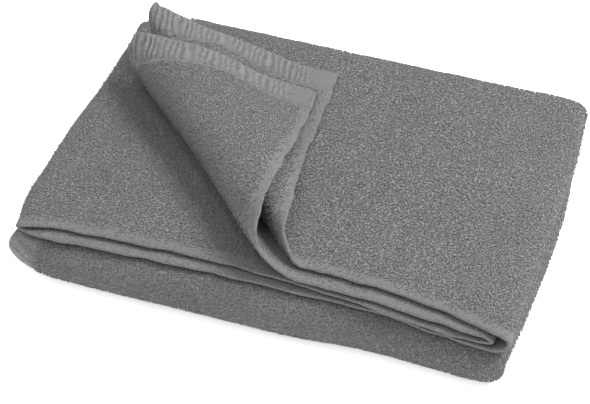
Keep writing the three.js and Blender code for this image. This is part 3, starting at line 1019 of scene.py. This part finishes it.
@dataclass(frozen=True)
class PileZone:
    """Node group: where the cloth has its pile, away from the flat hems and selvages. In metres."""

    width: float = 0.5
    length: float = 1.0
    selvage: float = 0.005
    hem: float = 0.0155
    blur: float = 0.0025

    def build(self) -> bpy.types.NodeTree:
        """Make the group.

        Returns:
            The group, with a place on the cloth in, and a mask out.
        """
        group = FinishGroup("pile_zone", {"Cloth Place": GroupSocket.PLACE}, {"Pile": GroupSocket.NUMBER})
        apart = group.add("SeparateXYZ", {0: group.given["Cloth Place"]})
        zones = []
        for axis, size, band in (("X", self.width, self.selvage), ("Y", self.length, self.hem)):
            aside = group.math("ABSOLUTE", group.math("SUBTRACT", apart.outputs[axis], size / 2))
            edge = size / 2 - band
            zone = group.add(
                "MapRange",
                {"Value": aside, "From Min": edge, "From Max": edge - self.blur},
                interpolation_type="SMOOTHSTEP",
            )
            zones.append(zone.outputs["Result"])
        return group.close({"Pile": group.math("MINIMUM", *zones)})


@dataclass(frozen=True)
class FinishGroups:
    """The node groups that the finishes share."""

    tint: bpy.types.NodeTree
    weave: bpy.types.NodeTree
    zone: bpy.types.NodeTree
    ground: bpy.types.NodeTree

    @classmethod
    def build(cls) -> "FinishGroups":
        """Make all the groups."""
        return cls(CottonTint().build(), FlatWeave().build(), PileZone().build(), LoopGround().build())


@dataclass(frozen=True)
class CottonFinish:
    """A matt cotton finish. Its colours are greys, from 0 to 1; the gap grey is painted shade between the
    tufts of the pile.
    """

    name: str
    flat_grey: float
    pile_grey: float
    # Painted shade: the grey of the gaps between the tufts, darker than the pile.
    gap_shade_grey: float
    fine_amount: float
    broad_amount: float
    roughness: float
    sheen: float
    bump: float
    bump_height: float
    specular: float = 0.15
    sheen_roughness: float = 0.6
    tuft_relief: float = 2.4
    # Painted shade in the hems' grooves and painted light on their ribs, as a share of the colour.
    rib_light_and_groove_shade: float = 0.32

    def build(self, groups: FinishGroups) -> bpy.types.Material:
        """Make the material.

        Args:
            groups: The shared node groups.

        Returns:
            The new material.
        """
        material = bpy.data.materials.new(self.name)
        material.use_nodes = True
        wires = Wiring(material.node_tree)
        coordinates = wires.add("TexCoord").outputs
        on_cloth = {"Cloth Place": coordinates["UV"]}
        zone = wires.add("Group", on_cloth, node_tree=groups.zone).outputs["Pile"]
        weave = wires.add("Group", on_cloth, node_tree=groups.weave).outputs["Height"]
        ground = wires.add("Group", {"Place": coordinates["Object"]}, node_tree=groups.ground).outputs
        greys = (self.flat_grey, self.pile_grey, self.gap_shade_grey)
        flat, pile, gap_shade = ((grey, grey, grey, 1.0) for grey in greys)
        # Painted shade: the pile's colour darkens towards the gap grey where the ground's shade mask is low.
        tufts_and_gap_shade = wires.add("Mix", {"Factor": ground["Shade"], "A": gap_shade, "B": pile}, data_type="RGBA")
        feeds = {"Factor": zone, "A": flat, "B": tufts_and_gap_shade.outputs["Result"]}
        cloth = wires.add("Mix", feeds, data_type="RGBA").outputs["Result"]
        # Painted light and shade on the hem ribs: darker in the grooves, lighter on the ribs.
        groove = wires.add("Attribute", attribute_name=GROOVE).outputs["Fac"]
        shade = wires.math("MULTIPLY_ADD", groove, -self.rib_light_and_groove_shade, 1.0)
        painted_rib_light_and_shade = wires.add("VectorMath", {0: cloth, "Scale": shade}, operation="SCALE").outputs[0]
        feeds = {"Base": painted_rib_light_and_shade, "Fine Amount": self.fine_amount, "Broad Amount": self.broad_amount}
        tint = wires.add("Group", feeds, node_tree=groups.tint)
        deep = wires.math("MULTIPLY", ground["Height"], self.tuft_relief)
        relief = wires.add("Mix", {"Factor": zone, "A": weave, "B": deep}, data_type="FLOAT")
        feeds = {"Strength": self.bump, "Distance": self.bump_height, "Height": relief.outputs["Result"]}
        bump = wires.add("Bump", feeds)
        wires.feed(
            material.node_tree.nodes["Principled BSDF"],
            {
                "Base Color": tint.outputs["Tint"],
                "Normal": bump.outputs["Normal"],
                "Roughness": self.roughness,
                "Specular IOR Level": self.specular,
                "Sheen Weight": self.sheen,
                "Sheen Roughness": self.sheen_roughness,
            },
        )
        return material


@dataclass(frozen=True)
class Lamp:
    """A soft light that faces the towel, in metres and watts."""

    name: str
    at: tuple[float, float, float]
    size: float
    power: float

    def build(self) -> None:
        """Hang the light."""
        data = bpy.data.lights.new(self.name, "AREA")
        data.size, data.energy = self.size, self.power
        lamp = placed(self.name, data)
        lamp.location = self.at
        lamp.rotation_euler = (-Vector(self.at)).to_track_quat("-Z", "Y").to_euler()


@dataclass(frozen=True)
class Studio:
    """Pale floor, soft light and the camera, in metres and degrees."""

    camera_at: tuple[float, float, float] = (0.1760, -0.5552, 0.60795)
    yaw: float = -18.31
    pitch: float = 46.0
    focal_pixels: float = 1600.0
    frame_pixels: float = 590.0
    sensor: float = 36.0
    clip: tuple[float, float] = (0.01, 50.0)
    floor_half: float = 3.0
    floor_white: float = 0.93
    floor_glow: float = 0.6
    floor_roughness: float = 0.9
    floor_specular: float = 0.1
    lamps: tuple[Lamp, ...] = (
        Lamp("key", (0.7, 0.3, 1.15), 0.6, 22.0),
        Lamp("fill", (-0.2, -0.4, 1.1), 0.9, 5.5),
    )
    world: float = 0.48

    def camera(self) -> None:
        """Place the camera at the photograph's viewing angle."""
        data = bpy.data.cameras.new("photo_camera")
        data.sensor_width = self.sensor
        data.lens = self.sensor * self.focal_pixels / self.frame_pixels
        yaw, pitch = math.radians(self.yaw), math.radians(self.pitch)
        ahead = math.cos(pitch)
        forward = Vector((math.sin(yaw) * ahead, math.cos(yaw) * ahead, -math.sin(pitch)))
        right = Vector((math.cos(yaw), -math.sin(yaw), 0.0))
        up = right.cross(forward)
        camera = placed("photo_camera", data)
        turn = Matrix((right, up, -forward)).transposed().to_4x4()
        camera.matrix_world = Matrix.Translation(self.camera_at) @ turn
        data.clip_start, data.clip_end = self.clip
        bpy.context.scene.camera = camera

    def floor(self) -> None:
        """Lay the floor."""
        mesh = bpy.data.meshes.new("floor")
        half = self.floor_half
        corners = [(-half, -half, 0), (half, -half, 0), (half, half, 0), (-half, half, 0)]
        mesh.from_pydata(corners, [], [(0, 1, 2, 3)])
        floor = placed("floor", mesh)
        material = bpy.data.materials.new("pale_floor")
        material.use_nodes = True
        white = self.floor_white
        Wiring(material.node_tree).feed(
            material.node_tree.nodes["Principled BSDF"],
            {
                "Base Color": (white, white, white, 1.0),
                "Roughness": self.floor_roughness,
                "Specular IOR Level": self.floor_specular,
                "Emission Color": (1.0, 1.0, 1.0, 1.0),
                "Emission Strength": self.floor_glow,
            },
        )
        mesh.materials.append(material)

    def build(self) -> None:
        """Set up camera, floor and lights."""
        self.camera()
        self.floor()
        world = bpy.data.worlds.new("studio")
        world.use_nodes = True
        sky = world.node_tree.nodes["Background"]
        Wiring(world.node_tree).feed(sky, {"Color": (1.0, 1.0, 1.0, 1.0), "Strength": self.world})
        bpy.context.scene.world = world
        for lamp in self.lamps:
            lamp.build()
        bpy.context.scene.view_settings.view_transform = "Standard"


def main() -> None:
    logging.basicConfig(level=logging.INFO, format="%(name)s: %(message)s")
    Studio().build()
    sheet_maker = TowelSheet(Folds(), ClothFace())
    sheet = sheet_maker.build()
    log.info("%s: %d faces", sheet.name, len(sheet.data.polygons))
    points = [v.co / MM for v in sheet.data.vertices]
    skin = BVHTree.FromPolygons(points, [p.vertices[:] for p in sheet.data.polygons])
    loops = TerryPile(sheet_maker, skin).build()
    groups = FinishGroups.build()
    # Painted shade: the gap grey, below the pile grey, darkens the gaps of the pile.
    woven = CottonFinish(
        name="woven_cotton", flat_grey=0.145, pile_grey=0.2, gap_shade_grey=0.1, fine_amount=1.5,
        broad_amount=0.2, roughness=0.9, sheen=0.15, bump=0.7, bump_height=0.0003,
    ).build(groups)
    yarn = CottonFinish(
        name="loop_yarn", flat_grey=0.19, pile_grey=0.19, gap_shade_grey=0.19, fine_amount=0.6,
        broad_amount=0.25, roughness=0.95, sheen=0.2, bump=0.0, bump_height=0.0001,
    ).build(groups)
    sheet.data.materials.append(woven)
    for piece in loops:
        piece.data.materials.append(yarn)
    for piece in [sheet, *loops]:
        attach(piece, "root")
    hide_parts("towel")


if __name__ == "__main__":
    main()
